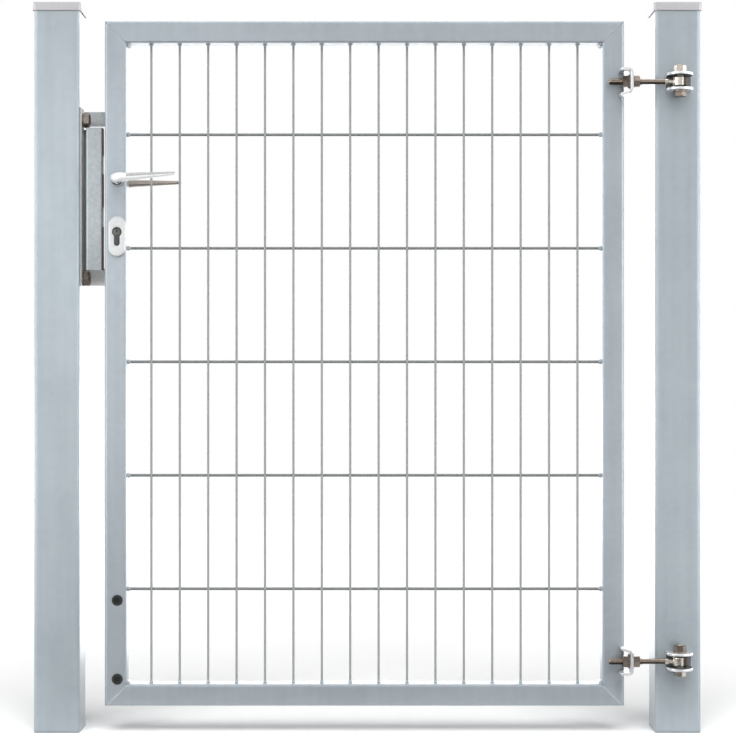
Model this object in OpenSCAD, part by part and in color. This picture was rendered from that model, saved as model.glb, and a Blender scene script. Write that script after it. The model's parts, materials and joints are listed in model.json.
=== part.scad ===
// Galvanised swing gate with welded wire infill, hung between two square posts.
// Origin: middle of the hinge post's foot. +X runs from the latch post to the hinge post,
// the leaf opens towards -Y, +Z is up.

/* [Opening] */
// Clear width between the two posts
opening_w = 1010; // [760:50:1410]
// Gap between the latch post and the leaf
latch_gap = 45; // [45:1:60]
// Gap between the hinge post and the leaf
hinge_gap = 55; // [55:1:70]
// Gap between the ground and the leaf
ground_gap = 48; // [30:1:80]

/* [Posts] */
// Width and depth of a post
post_w = 80; // [70:5:100]
// Wall of a post
post_wall = 3; // [2:0.5:5]
// Outer corner radius of a post
post_corner = 5; // [4:0.5:8]
// Height of a post over its cap
post_h = 1282; // [1282:50:1882]
// Width and depth of a post cap
cap_w = 85; // [85:1:110]
// Height of a post cap
cap_h = 15; // [10:1:25]
// Top thickness of a post cap
cap_top = 3; // [2:0.5:5]

/* [Leaf] */
// Height of the leaf
leaf_h = 1200; // [1200:200:1800]
// Side of the square frame tube
tube_w = 38; // [34:1:42]
// Wall of the frame tube
tube_wall = 2; // [1.5:0.5:3]
// Outer corner radius of the frame tube
tube_corner = 4; // [3.5:0.5:5]

/* [Wire infill] */
// Distance between upright wires
upright_pitch = 50; // [40:5:75]
// Distance between level wires
level_pitch = 200; // [100:50:250]
// Thickness of an upright wire
upright_d = 4; // [3:0.5:6]
// Thickness of a level wire
level_d = 5; // [4:0.5:8]
// Rise of the level wires above the middle of the leaf
level_rise = 3; // [0:1:10]

/* [Hinges] */
// Distance of the hinge axis in front of the post
axis_out = 22; // [20:1:30]
// Depth of the leaf face behind the hinge axis
face_back = 18; // [16:1:24]
// Upper hinge, below the top of the leaf
upper_inset = 109; // [80:1:200]
// Lower hinge, above the bottom of the leaf
lower_inset = 81; // [70:1:200]
// Width of a hinge bracket
bracket_w = 45; // [40:1:50]
// Height of a hinge bracket
bracket_h = 31; // [30:1:36]
// Plate thickness of brackets and lugs
bracket_t = 5; // [4:0.5:6]
// Diameter of a hinge pin and of an eye bolt's thread
pin_d = 12; // [10:1:12]
// Shank diameter of an eye bolt
shank_d = 9.4; // [9:0.1:11]
// Diameter of a bolt eye
eye_d = 26; // [24:1:26]
// Height of a bolt eye
eye_h = 17; // [15:1:18]
// Height of a lug
lug_h = 45; // [40:1:55]
// Flare of the lug leg that is nearer the leaf's middle
lug_flare = 4; // [0:1:6]

/* [Lock] */
// Height of the handle spindle above the ground
spindle_z = 970; // [960:1:1000]
// Distance from the spindle down to the key cylinder
lock_centres = 92; // [92:1:92]
// Distance from the leaf's edge to the spindle
backset = 22; // [19:1:24]
// Reach of a lever from its spindle
lever_reach = 106; // [90:1:120]
// Distance of a grip's middle from the leaf
grip_out = 38; // [36:1:55]
// Rise of the front lever, from play on the spindle, in degrees
front_rise = 4; // [0:0.5:5]
// Rise of the back lever, from play on the spindle, in degrees
back_rise = 1; // [0:0.5:5]

/* [Strike] */
// Height of the stop bracket
stop_h = 308; // [308:1:340]
// Depth of the stop bracket's flange
stop_depth = 40; // [38:1:42]
// Height of the upper stop tab
tab_h = 26; // [20:1:30]
// Height of the lower stop tab, which ends behind the strike plate
lower_tab_h = 30; // [28:1:34]
// Width of the strike plate
strike_w = 29; // [26:1:29]
// Height of the strike plate
strike_h = 250; // [240:1:250]

/* [Hidden] */
$fn = 48;
// Running play of a pin in its bore, on the radius
play = 0.05;
// Free space kept round moving pieces
free = 5;
// Overlap that joins pieces of one solid
sink = 0.5;

// Across the gate, from the hinge post's middle
leaf_x1 = -post_w / 2 - hinge_gap;
leaf_x0 = -post_w / 2 - opening_w + latch_gap;
latch_post_x = -post_w - opening_w;
leaf_w = leaf_x1 - leaf_x0;
inner_w = leaf_w - 2 * tube_w;
inner_h = leaf_h - 2 * tube_w;

// Through the gate
axis_y = -post_w / 2 - axis_out;
leaf_y0 = axis_y + face_back;
leaf_y1 = leaf_y0 + tube_w;
mid_y = leaf_y0 + tube_w / 2;

// Up the gate
leaf_z0 = ground_gap;
leaf_z1 = leaf_z0 + leaf_h;
upper_z = leaf_z1 - upper_inset;
lower_z = leaf_z0 + lower_inset;
mid_z = leaf_z0 + leaf_h / 2;

// Hinges
neck_x = -26;
neck_end_x = -8;
neck_d = 14;
eye_bolt_end = -124;
nut_t = 10;
nut_af = 19;
head_t = 8;
hex_chamfer = 1;
eye_chamfer = 1.5;
washer_t = 2.5;
washer_d = 24;
thread_over = 2;
lug_x1 = -post_w / 2 - 43;
lug_web_x = lug_x1 - bracket_t;
lug_overlap = 10;
lug_reach = lug_x1 - leaf_x1 + lug_overlap;
lug_bend = 8;
lug_depth = 36;

// Lock
spindle_x = leaf_x0 + backset;
cylinder_z = spindle_z - lock_centres;
spindle_side = 8;
neck_r = 8;
rose_r = 12;
rose_t = 6;
rose_bevel = 1;
neck_play = 0.5;
hub_r = 7.4;
elbow_r = 8;
grip_end_r = 3.2;
spindle_bite = 15;
barrel_r = 8.5;
barrel_h = 33;
web_w = 10;
core_r = 5.8;
core_out = 0.5;
keyway = [2.5, 8];
keyway_in = 4;
cover_w = 31;
cover_h = 71;
cover_t = 6;
cover_bevel = 2;
cover_drop = 8;
faceplate_w = 22;
faceplate_h = 240;
faceplate_t = 3;
latch_z = spindle_z + 28;
bolt_z = cylinder_z + 28;
faceplate_z0 = (latch_z + bolt_z) / 2 - faceplate_h / 2;
latch_size = [11, 20];
bolt_size = [10, 26];
plug_z = [233, 95];
plug_r = 9.5;
plug_rim = 1;
plug_dome = 1.5;
plug_hole_r = 8;
plug_in = 8;

// Strike
stop_t = 3;
stop_z0 = spindle_z - 184;
stop_y1 = leaf_y1 + free + stop_t;
stop_y0 = stop_y1 - stop_depth;
stop_x = -post_w / 2 - opening_w;
stop_reach = latch_gap + 20;
stop_over = 4;
strike_t = 3;
strike_z0 = stop_z0 + 26;
strike_x1 = leaf_x0 - free;
strike_x0 = strike_x1 - strike_w;
strike_depth = 25;
fold_r = 4;
foot_y = stop_y1 - stop_t - 5;
latch_window_h = 34;
bolt_window_h = 37;
window_back = 3;
window_slant = 3;
strike_bolt_r = 4;
strike_bolt_in = 18;
strike_bolt_af = 24;
strike_head_t = 10;
strike_washer_d = 26;
stop_bolt_y = (stop_y0 + stop_y1) / 2;
stop_bolt_z = [stop_z0 + stop_h - tab_h / 2 - 4, stop_z0 + tab_h / 2 - 2];

// Wire infill
upright_n = floor((inner_w - upright_pitch) / upright_pitch) + 1;
level_n = floor((inner_h - level_pitch) / level_pitch) + 1;
first_upright = (inner_w - (upright_n - 1) * upright_pitch) / 2;
first_level = (inner_h - (level_n - 1) * level_pitch) / 2 + level_rise;
weld_bite = 0.4;

// ---------- shared shapes ----------

// Square with round corners, centred
module round_square(side, radius) {
    square([side - 2 * radius, side], center = true);
    square([side, side - 2 * radius], center = true);
    for (sx = [-1, 1], sy = [-1, 1])
        translate([sx * (side / 2 - radius), sy * (side / 2 - radius)])
            circle(r = radius);
}

// Section of a square tube
module tube_section(side, wall, radius) {
    difference() {
        round_square(side, radius);
        round_square(side - 2 * wall, radius - wall);
    }
}

// Cylinder along X or Y instead of Z
module bar_x(r, h) {
    rotate([0, 90, 0])
        cylinder(r = r, h = h);
}

module bar_y(r, h) {
    rotate([-90, 0, 0])
        cylinder(r = r, h = h);
}

// Hexagon af across its flats and t thick, its corners turned down at both ends
module hexagon(t, af = nut_af) {
    r1 = af / 2 - 0.2;
    r2 = r1 + hex_chamfer / tan(30);
    intersection() {
        cylinder(d = af / cos(30), h = t, $fn = 6);
        union() {
            cylinder(r1 = r1, r2 = r2, h = hex_chamfer);
            translate([0, 0, hex_chamfer])
                cylinder(r = r2, h = t - 2 * hex_chamfer);
            translate([0, 0, t - hex_chamfer])
                cylinder(r1 = r2, r2 = r1, h = hex_chamfer);
        }
    }
}

// Hexagon on its washer, thickness t without the washer
module hexagon_on_washer(t) {
    cylinder(d = washer_d, h = washer_t);
    translate([0, 0, washer_t])
        hexagon(t);
}

// Hexagon nut with its washer below, bored for the thread
module washered_nut() {
    difference() {
        hexagon_on_washer(nut_t);
        translate([0, 0, -1])
            cylinder(d = pin_d, h = washer_t + nut_t + 2);
    }
}

// ---------- posts ----------

module post() {
    color("#b4bec6")
        linear_extrude(post_h - cap_top)
            tube_section(post_w, post_wall, post_corner);
}

module post_cap() {
    fit = 0.1;
    color("#c2c1c3")
        translate([0, 0, post_h - cap_h])
            difference() {
                linear_extrude(cap_h)
                    round_square(cap_w, post_corner + 2);
                translate([0, 0, -1])
                    linear_extrude(cap_h - cap_top + 1)
                        round_square(post_w + 2 * fit, post_corner + fit);
            }
}

module hinge_post() {
    post();
}

module hinge_post_cap() {
    post_cap();
}

module latch_post() {
    color("#b4bec6")
        difference() {
            translate([latch_post_x, 0, 0])
                post();
            strike_bolt_holes();
        }
}

module latch_post_cap() {
    translate([latch_post_x, 0, 0])
        post_cap();
}

// ---------- strike on the latch post ----------

module strike_bolt_holes() {
    for (z = stop_bolt_z)
        translate([stop_x - post_wall - 1, stop_bolt_y, z])
            bar_x(strike_bolt_r, post_wall + stop_t + 2);
}

// Flat plate with two tabs that stop the leaf
module stop_bracket() {
    color("#8f9396")
        difference() {
            union() {
                translate([stop_x, stop_y0, stop_z0])
                    cube([stop_t, stop_depth, stop_h + stop_over]);
                translate([stop_x, stop_y1 - stop_t, stop_z0 + stop_h - tab_h])
                    cube([stop_reach, stop_t, tab_h]);
                translate([stop_x, stop_y1 - stop_t, stop_z0])
                    cube([stop_reach, stop_t, lower_tab_h]);
            }
            strike_bolt_holes();
        }
}

// Folded sheet: foot on the bracket, side, front and a lip with two windows
module strike_plate() {
    back = foot_y + strike_t;
    lip_end = stop_y0 + strike_depth;
    side_x1 = strike_x0 + strike_t;
    color("#b6bec4")
        translate([0, 0, strike_z0])
            difference() {
                linear_extrude(strike_h) {
                    difference() {
                        channel(0, back - fold_r);
                        channel(strike_t, back);
                        translate([side_x1, lip_end])
                            square([strike_w, back - lip_end]);
                    }
                    translate([side_x1 - fold_r, back - fold_r])
                        difference() {
                            intersection() {
                                circle(r = fold_r);
                                square(fold_r);
                            }
                            circle(r = fold_r - strike_t);
                        }
                    translate([stop_x + stop_t, foot_y])
                        square([side_x1 - fold_r - stop_x - stop_t, strike_t]);
                }
                window(latch_z - strike_z0, latch_window_h);
                window(bolt_z - strike_z0, bolt_window_h);
            }
}

// U open towards +Y up to end_y, with round front corners, drawn smaller by inset
module channel(inset, end_y) {
    r = fold_r - inset;
    x0 = strike_x0 + inset;
    x1 = strike_x1 - inset;
    front = stop_y0 + inset;
    translate([x0, front + r])
        square([x1 - x0, end_y - front - r]);
    translate([x0 + r, front])
        square([x1 - x0 - 2 * r, 2 * r]);
    for (x = [x0 + r, x1 - r])
        translate([x, front + r])
            circle(r = r);
}

// Cut through the lip behind its fold, its front corners slanted
module window(z, height) {
    y0 = stop_y0 + fold_r;
    y1 = stop_y0 + strike_depth - window_back;
    half = height / 2;
    translate([strike_x1 - strike_t - 1, 0, z])
        rotate([90, 0, 90])
            linear_extrude(strike_t + 2)
                polygon([[y0, window_slant - half], [y0 + window_slant, -half], [y1, -half],
                    [y1, half], [y0 + window_slant, half], [y0, half - window_slant]]);
}

// Hexagon head bolt with its washer, through the bracket into the post
module strike_bolt(z, turn) {
    color("#a49c94")
        translate([stop_x + stop_t, stop_bolt_y, z]) {
            rotate([0, 90, 0])
                cylinder(d = strike_washer_d, h = washer_t);
            translate([washer_t, 0, 0])
                rotate([turn, 0, 0])
                    rotate([0, 90, 0])
                        hexagon(strike_head_t, strike_bolt_af);
            translate([-strike_bolt_in, 0, 0])
                bar_x(strike_bolt_r, strike_bolt_in);
        }
}

module upper_strike_bolt() {
    strike_bolt(stop_bolt_z[0], 30);
}

module lower_strike_bolt() {
    strike_bolt(stop_bolt_z[1], 0);
}

// ---------- hinges ----------

// U bracket on the post: two round-nosed ears and a back plate
module hinge_bracket(z) {
    color("#c9ccd0")
        translate([0, 0, z - bracket_h / 2])
            difference() {
                union() {
                    for (up = [0, bracket_h - bracket_t])
                        translate([0, 0, up])
                            linear_extrude(bracket_t)
                                ear();
                    translate([-bracket_w / 2, -post_w / 2 - bracket_t, 0])
                        cube([bracket_w, bracket_t, bracket_h]);
                }
                translate([0, axis_y, -1])
                    cylinder(d = pin_d, h = bracket_h + 2);
            }
}

// Ear with a round nose, cut off where it meets the post
module ear() {
    intersection() {
        union() {
            translate([0, axis_y])
                circle(d = bracket_w);
            translate([-bracket_w / 2, axis_y])
                square([bracket_w, axis_out]);
        }
        translate([-bracket_w / 2, axis_y - bracket_w / 2])
            square([bracket_w, bracket_w / 2 + axis_out]);
    }
}

module upper_hinge_bracket() {
    hinge_bracket(upper_z);
}

module lower_hinge_bracket() {
    hinge_bracket(lower_z);
}

// Bolt through both ears as the hinge's pin, its head below
module hinge_pin(z) {
    color("#a89e94")
        translate([0, axis_y, z - bracket_h / 2]) {
            mirror([0, 0, 1])
                hexagon_on_washer(head_t);
            cylinder(d = pin_d, h = bracket_h + washer_t + nut_t + thread_over);
        }
}

module pin_nut(z) {
    color("#98948e")
        translate([0, axis_y, z + bracket_h / 2])
            washered_nut();
}

module upper_hinge_pin() {
    hinge_pin(upper_z);
}

module lower_hinge_pin() {
    hinge_pin(lower_z);
}

module upper_pin_nut() {
    pin_nut(upper_z);
}

module lower_pin_nut() {
    pin_nut(lower_z);
}

// Eye bolt along -X, with a tapered neck behind its eye
module eye_bolt(z) {
    thread_x = lug_x1 + washer_t + nut_t;
    color("#a3978d")
        translate([0, axis_y, z])
            difference() {
                union() {
                    eye();
                    translate([neck_x, 0, 0])
                        rotate([0, 90, 0])
                            cylinder(d1 = shank_d, d2 = neck_d, h = neck_end_x - neck_x);
                    translate([thread_x, 0, 0])
                        bar_x(shank_d / 2, neck_x - thread_x + sink);
                    translate([eye_bolt_end, 0, 0])
                        bar_x(pin_d / 2, thread_x - eye_bolt_end + sink);
                }
                translate([0, 0, -eye_h])
                    cylinder(r = pin_d / 2 + play, h = 2 * eye_h);
            }
}

// Eye with chamfered rims, centred
module eye() {
    straight = eye_h / 2 - eye_chamfer;
    r = eye_d / 2;
    translate([0, 0, -straight])
        cylinder(r = r, h = 2 * straight);
    translate([0, 0, straight])
        cylinder(r1 = r, r2 = r - eye_chamfer, h = eye_chamfer);
    translate([0, 0, -eye_h / 2])
        cylinder(r1 = r - eye_chamfer, r2 = r, h = eye_chamfer);
}

module upper_eye_bolt() {
    eye_bolt(upper_z);
}

module lower_eye_bolt() {
    eye_bolt(lower_z);
}

// Folded U lug on the leaf, bored for the eye bolt, its lower leg flared
module lug() {
    color("#c6cacd")
        difference() {
            translate([lug_x1, lug_depth / 2, 0])
                rotate([90, 0, 0])
                    linear_extrude(lug_depth)
                        difference() {
                            lug_outline(0);
                            lug_outline(bracket_t);
                        }
            translate([lug_web_x - 1, 0, 0])
                bar_x(pin_d / 2, bracket_t + 2);
        }
}

// U opening towards -X with its web at X = 0, drawn smaller by inset
module lug_outline(inset) {
    top = lug_h / 2 - inset;
    straight = lug_h / 2 - lug_bend;
    end_x = -lug_reach - inset;
    slope = lug_flare / (lug_reach - lug_bend);
    polygon([[end_x, top], [-lug_bend, top], [-inset, straight], [-inset, -straight],
        [-lug_bend, -top], [end_x, -top + slope * (end_x + lug_bend)]]);
    for (z = [-straight, straight])
        translate([-lug_bend, z])
            circle(r = lug_bend - inset);
}

module upper_lug() {
    translate([0, axis_y, upper_z])
        lug();
}

module lower_lug() {
    translate([0, axis_y, lower_z])
        mirror([0, 0, 1])
            lug();
}

module inner_nut(z) {
    color("#8d8780")
        translate([lug_web_x, axis_y, z])
            rotate([0, -90, 0])
                washered_nut();
}

module outer_nut(z) {
    color("#8d8780")
        translate([lug_x1, axis_y, z])
            rotate([0, 90, 0])
                washered_nut();
}

module upper_inner_nut() {
    inner_nut(upper_z);
}

module upper_outer_nut() {
    outer_nut(upper_z);
}

module lower_inner_nut() {
    inner_nut(lower_z);
}

module lower_outer_nut() {
    outer_nut(lower_z);
}

// ---------- frame of the leaf ----------

// Tube along +X from the origin, mitred at both ends, its long side at the bottom
module mitred_tube(length) {
    intersection() {
        translate([0, tube_w / 2, tube_w / 2])
            rotate([90, 0, 90])
                linear_extrude(length)
                    tube_section(tube_w, tube_wall, tube_corner);
        translate([0, tube_w + 1, 0])
            rotate([90, 0, 0])
                linear_extrude(tube_w + 2)
                    polygon([[0, 0], [length, 0], [length - tube_w, tube_w], [tube_w, tube_w]]);
    }
}

module bottom_rail() {
    color("#a3aab0")
        translate([leaf_x0, leaf_y0, leaf_z0])
            mitred_tube(leaf_w);
}

module top_rail() {
    color("#a9b1b8")
        translate([leaf_x0, leaf_y0, leaf_z1])
            mirror([0, 0, 1])
                mitred_tube(leaf_w);
}

module hinge_stile() {
    color("#a9b0b7")
        translate([leaf_x1, leaf_y0, leaf_z0])
            rotate([0, -90, 0])
                mitred_tube(leaf_h);
}

// Cut through for the lock, the spindle and the two plugs
module latch_stile() {
    cut = tube_w + 2;
    color("#b0b9c1")
        difference() {
            translate([leaf_x0, leaf_y0, leaf_z0])
                mirror([1, 0, 0])
                    rotate([0, -90, 0])
                        mitred_tube(leaf_h);
            translate([spindle_x, leaf_y0 - 1, spindle_z])
                bar_y(neck_r, cut);
            translate([spindle_x, leaf_y0 - 1, cylinder_z])
                profile_bar(cut);
            translate([leaf_x0 - 1, mid_y - faceplate_w / 2, faceplate_z0])
                cube([tube_wall + 2, faceplate_w, faceplate_h]);
            for (z = plug_z)
                translate([spindle_x, leaf_y0 - 1, z])
                    bar_y(plug_hole_r, tube_wall + 2);
        }
}

// ---------- wire infill ----------

// Straight wires welded where they cross, fused into one net
module wire_infill() {
    upright_y = mid_y - (upright_d - weld_bite) / 2;
    level_y = mid_y + (level_d - weld_bite) / 2;
    color("#9ea2a5")
        translate([leaf_x0 + tube_w, 0, leaf_z0 + tube_w]) {
            for (i = [0:upright_n - 1])
                translate([first_upright + i * upright_pitch, upright_y, 0])
                    cylinder(d = upright_d, h = inner_h, $fn = 8);
            for (i = [0:level_n - 1])
                translate([0, level_y, first_level + i * level_pitch])
                    rotate([0, 90, 0])
                        cylinder(d = level_d, h = inner_w, $fn = 8);
        }
}

// ---------- lock and handle ----------

// Bar of key cylinder profile along +Y, its round part at the origin
module profile_bar(length) {
    rotate([-90, 0, 0])
        linear_extrude(length)
            profile_outline();
}

module profile_outline() {
    drop = barrel_h - barrel_r - web_w / 2;
    circle(r = barrel_r);
    translate([-web_w / 2, 0])
        square([web_w, drop]);
    translate([0, drop])
        circle(d = web_w);
}

// Profile cylinder with a round core and a keyway at each end
module key_cylinder() {
    inset = 1.5;
    length = tube_w + 2 * cover_t - 2 * inset;
    color("#4a4d4e")
        translate([spindle_x, mid_y, cylinder_z])
            difference() {
                union() {
                    translate([0, -length / 2, 0])
                        profile_bar(length);
                    translate([0, -length / 2 - core_out, 0])
                        bar_y(core_r, length + 2 * core_out);
                }
                for (y = [-1, 1])
                    translate([0, y * length / 2, 0])
                        cube([keyway[0], 2 * keyway_in, keyway[1]], center = true);
            }
}

// Oval cover round the key cylinder, standing on the leaf's front face
module cover() {
    half = (cover_h - cover_w) / 2;
    r = cover_w / 2;
    top = cover_t - cover_bevel;
    difference() {
        translate([0, 0, -half]) {
            for (z = [0, 2 * half])
                translate([0, 0, z])
                    rotate([90, 0, 0]) {
                        cylinder(r = r, h = top);
                        translate([0, 0, top])
                            cylinder(r1 = r, r2 = r - cover_bevel, h = cover_bevel);
                    }
            linear_extrude(2 * half)
                polygon([[-r, 0], [-r, -top], [cover_bevel - r, -cover_t],
                    [r - cover_bevel, -cover_t], [r, -top], [r, 0]]);
        }
        translate([0, -cover_t - 1, cover_drop])
            profile_bar(cover_t + 2);
    }
}

// Round rose under a lever
module rose() {
    rotate([90, 0, 0])
        difference() {
            union() {
                cylinder(r = rose_r, h = rose_t - rose_bevel);
                translate([0, 0, rose_t - rose_bevel])
                    cylinder(r1 = rose_r, r2 = rose_r - rose_bevel, h = rose_bevel);
            }
            translate([0, 0, -1])
                cylinder(r = neck_r + play, h = rose_t + 2);
        }
}

// Copies a piece from the leaf's front face to its back face
module on_back() {
    translate([0, 2 * mid_y, 0])
        mirror([0, 1, 0])
            children();
}

module front_cover() {
    color("#d9dcde")
        translate([spindle_x, leaf_y0, cylinder_z - cover_drop])
            cover();
}

module back_cover() {
    on_back()
        front_cover();
}

module front_rose() {
    color("#d9dcde")
        translate([spindle_x, leaf_y0, spindle_z])
            rose();
}

module back_rose() {
    on_back()
        front_rose();
}

// Lever on its spindle, turned up by rise degrees of play
module lever(rise) {
    color("#dfe1e2")
        translate([spindle_x, leaf_y0, spindle_z])
            difference() {
                rotate([0, -rise, 0])
                    level_lever();
                translate([-spindle_side / 2, -spindle_bite, -spindle_side / 2])
                    cube([spindle_side, spindle_bite, spindle_side]);
            }
}

// Neck out of the rose, elbow, then a grip that thins towards its round end
module level_lever() {
    end_x = lever_reach - grip_end_r;
    neck_end = grip_out - elbow_r;
    translate([0, -neck_play, 0])
        rotate([90, 0, 0])
            cylinder(r = hub_r, h = neck_end - neck_play);
    translate([elbow_r, -neck_end, 0])
        rotate([0, 0, 180])
            rotate_extrude(angle = 90)
                translate([elbow_r, 0])
                    circle(r = hub_r);
    translate([elbow_r, -grip_out, 0])
        rotate([0, 90, 0])
            cylinder(r1 = hub_r, r2 = grip_end_r, h = end_x - elbow_r);
    translate([end_x, -grip_out, 0])
        sphere(r = grip_end_r);
}

module front_lever() {
    lever(front_rise);
}

module back_lever() {
    on_back()
        lever(back_rise);
}

module spindle() {
    color("#8a8d8f")
        translate([spindle_x - spindle_side / 2, leaf_y0 - spindle_bite, spindle_z - spindle_side / 2])
            cube([spindle_side, tube_w + 2 * spindle_bite, spindle_side]);
}

module lock_faceplate() {
    color("#c4c8cb")
        difference() {
            translate([leaf_x0, mid_y - faceplate_w / 2, faceplate_z0])
                cube([faceplate_t, faceplate_w, faceplate_h]);
            latch_block(latch_size, latch_z, 1);
            latch_block(bolt_size, bolt_z, 1);
        }
}

// Block through the faceplate, size is its width and height
module latch_block(size, z, over) {
    translate([leaf_x0 - over, mid_y - size[0] / 2, z - size[1] / 2])
        cube([faceplate_t + 2 * over + 8, size[0], size[1]]);
}

module latch_tongue() {
    color("#b9bdc0")
        latch_block(latch_size, latch_z, 0);
}

module dead_bolt() {
    color("#b9bdc0")
        latch_block(bolt_size, bolt_z, 0);
}

module plug(z) {
    color("#202222")
        translate([spindle_x, leaf_y0, z])
            rotate([90, 0, 0]) {
                cylinder(r = plug_r, h = plug_rim);
                translate([0, 0, plug_rim])
                    cylinder(r1 = plug_r, r2 = plug_r - plug_dome, h = plug_dome);
                translate([0, 0, -plug_in])
                    cylinder(r = plug_hole_r, h = plug_in);
            }
}

module upper_plug() {
    plug(plug_z[0]);
}

module lower_plug() {
    plug(plug_z[1]);
}

hinge_post();
hinge_post_cap();
latch_post();
latch_post_cap();
stop_bracket();
strike_plate();
upper_strike_bolt();
lower_strike_bolt();
upper_hinge_bracket();
lower_hinge_bracket();
upper_hinge_pin();
lower_hinge_pin();
upper_pin_nut();
lower_pin_nut();
latch_stile();
hinge_stile();
top_rail();
bottom_rail();
wire_infill();
upper_lug();
lower_lug();
upper_eye_bolt();
lower_eye_bolt();
upper_inner_nut();
upper_outer_nut();
lower_inner_nut();
lower_outer_nut();
lock_faceplate();
latch_tongue();
dead_bolt();
key_cylinder();
front_cover();
back_cover();
front_rose();
back_rose();
upper_plug();
lower_plug();
front_lever();
back_lever();
spindle();
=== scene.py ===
"""Looks for a galvanised swing gate between two square posts."""
import json
import math

import bpy
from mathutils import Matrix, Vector


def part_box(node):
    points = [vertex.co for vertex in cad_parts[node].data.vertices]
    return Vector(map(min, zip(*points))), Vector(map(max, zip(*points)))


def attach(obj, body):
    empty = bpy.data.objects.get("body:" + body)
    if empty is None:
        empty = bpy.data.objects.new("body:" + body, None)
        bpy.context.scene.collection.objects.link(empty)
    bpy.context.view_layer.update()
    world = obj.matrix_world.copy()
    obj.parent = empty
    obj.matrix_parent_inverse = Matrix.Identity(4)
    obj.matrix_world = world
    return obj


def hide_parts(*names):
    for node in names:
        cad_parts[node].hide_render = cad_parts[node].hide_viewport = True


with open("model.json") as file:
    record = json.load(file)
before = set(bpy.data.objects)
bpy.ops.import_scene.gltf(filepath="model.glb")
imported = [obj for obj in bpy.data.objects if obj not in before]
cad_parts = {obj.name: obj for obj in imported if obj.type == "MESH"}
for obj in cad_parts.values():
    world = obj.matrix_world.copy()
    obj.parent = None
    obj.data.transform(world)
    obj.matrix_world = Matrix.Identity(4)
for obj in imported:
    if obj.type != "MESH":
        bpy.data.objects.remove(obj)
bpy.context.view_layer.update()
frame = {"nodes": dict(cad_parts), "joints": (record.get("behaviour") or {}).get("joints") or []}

MM = 0.001
# Turns in radians
QUARTER, HALF = math.radians(90), math.radians(180)
NODES = frame["nodes"]
POSTS, LEAF, HANDLE = "posts", "leaf", "handle"

# ---------- small tools ----------


def linear(hexa):
    """Linear RGBA of an sRGB hex colour."""
    channels = [int(hexa[i:i + 2], 16) / 255 for i in (0, 2, 4)]
    return [c / 12.92 if c <= 0.04045 else ((c + 0.055) / 1.055) ** 2.4 for c in channels] + [1.0]


def add(tree, kind, inputs=None, **settings):
    """A node of that kind, with its settings, and its inputs set or linked."""
    node = tree.nodes.new(kind)
    for name, value in settings.items():
        setattr(node, name, value)
    for name, value in (inputs or {}).items():
        if isinstance(value, bpy.types.NodeSocket):
            tree.links.new(value, node.inputs[name])
        else:
            node.inputs[name].default_value = value
    return node


def clear():
    """Leaves edit mode with nothing selected."""
    if bpy.context.object and bpy.context.object.mode != "OBJECT":
        bpy.ops.object.mode_set(mode="OBJECT")
    bpy.ops.object.select_all(action="DESELECT")


def pick(piece):
    """Makes piece the only selected object."""
    clear()
    piece.select_set(True)
    bpy.context.view_layer.objects.active = piece
    return piece


def edit(kind="VERT"):
    """Enters edit mode with everything selected."""
    bpy.ops.object.mode_set(mode="EDIT")
    bpy.ops.mesh.select_mode(type=kind)
    bpy.ops.mesh.select_all(action="SELECT")


def leave():
    """Leaves edit mode."""
    bpy.ops.object.mode_set(mode="OBJECT")


def choose(test, kind="polygons"):
    """In edit mode, selects the polygons or vertices that pass the test, and nothing else."""
    bpy.ops.mesh.select_all(action="DESELECT")
    leave()
    for part in getattr(bpy.context.object.data, kind):
        part.select = bool(test(part))
    bpy.ops.object.mode_set(mode="EDIT")


def extrude(x, y, z):
    """In edit mode, extrudes what is selected by that much in millimetres."""
    bpy.ops.mesh.extrude_region_move(TRANSFORM_OT_translate={"value": (x * MM, y * MM, z * MM)})


def slice_all(at, normal):
    """In edit mode, cuts a line across the whole mesh where the plane meets it."""
    bpy.ops.mesh.select_all(action="SELECT")
    bpy.ops.mesh.bisect(plane_co=at, plane_no=normal)


def mend(gap=0.002):
    """Merges points of the active piece that are that near in millimetres, and turns its faces outwards."""
    edit()
    bpy.ops.mesh.remove_doubles(threshold=gap * MM)
    bpy.ops.mesh.normals_make_consistent(inside=False)
    leave()


def modify(piece, kind, **settings):
    """Adds a modifier to piece and applies it."""
    pick(piece)
    modifier = piece.modifiers.new(kind.title(), kind)
    for name, value in settings.items():
        setattr(modifier, name, value)
    bpy.ops.object.modifier_apply(modifier=modifier.name)
    return piece


def repeat(piece, count, step):
    """A row of that many of piece in one mesh, each a step in metres past the one before."""
    return modify(piece, "ARRAY", count=count, use_relative_offset=False, use_constant_offset=True,
                  constant_offset_displace=step)


def join(pieces):
    """Joins pieces into the first one."""
    clear()
    for piece in pieces:
        piece.select_set(True)
    bpy.context.view_layer.objects.active = pieces[0]
    bpy.ops.object.join()
    return pieces[0]


def place(piece, at, turn=(0, 0, 0)):
    """Turns piece, then moves it, and keeps both in its mesh."""
    pick(piece)
    piece.rotation_euler = turn
    piece.location = at
    bpy.ops.object.transform_apply(location=True, rotation=True, scale=True)
    return piece


def twin(piece, name):
    """A copy of piece with a mesh of its own."""
    copy = bpy.data.objects.new(name, piece.data.copy())
    bpy.context.scene.collection.objects.link(copy)
    return copy


def finish(piece, name, body, material, replaced=(), smooth=32):
    """Cleans the mesh of a piece, gives it its finish and fixes it to its body."""
    place(piece, piece.location.copy(), piece.rotation_euler.copy())
    piece.name = name
    piece.data.name = name
    mend()
    bpy.ops.object.shade_smooth_by_angle(angle=math.radians(smooth))
    piece.data.materials.clear()
    piece.data.materials.append(material)
    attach(piece, body)
    if replaced:
        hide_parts(*replaced)
    clear()
    return piece


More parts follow.
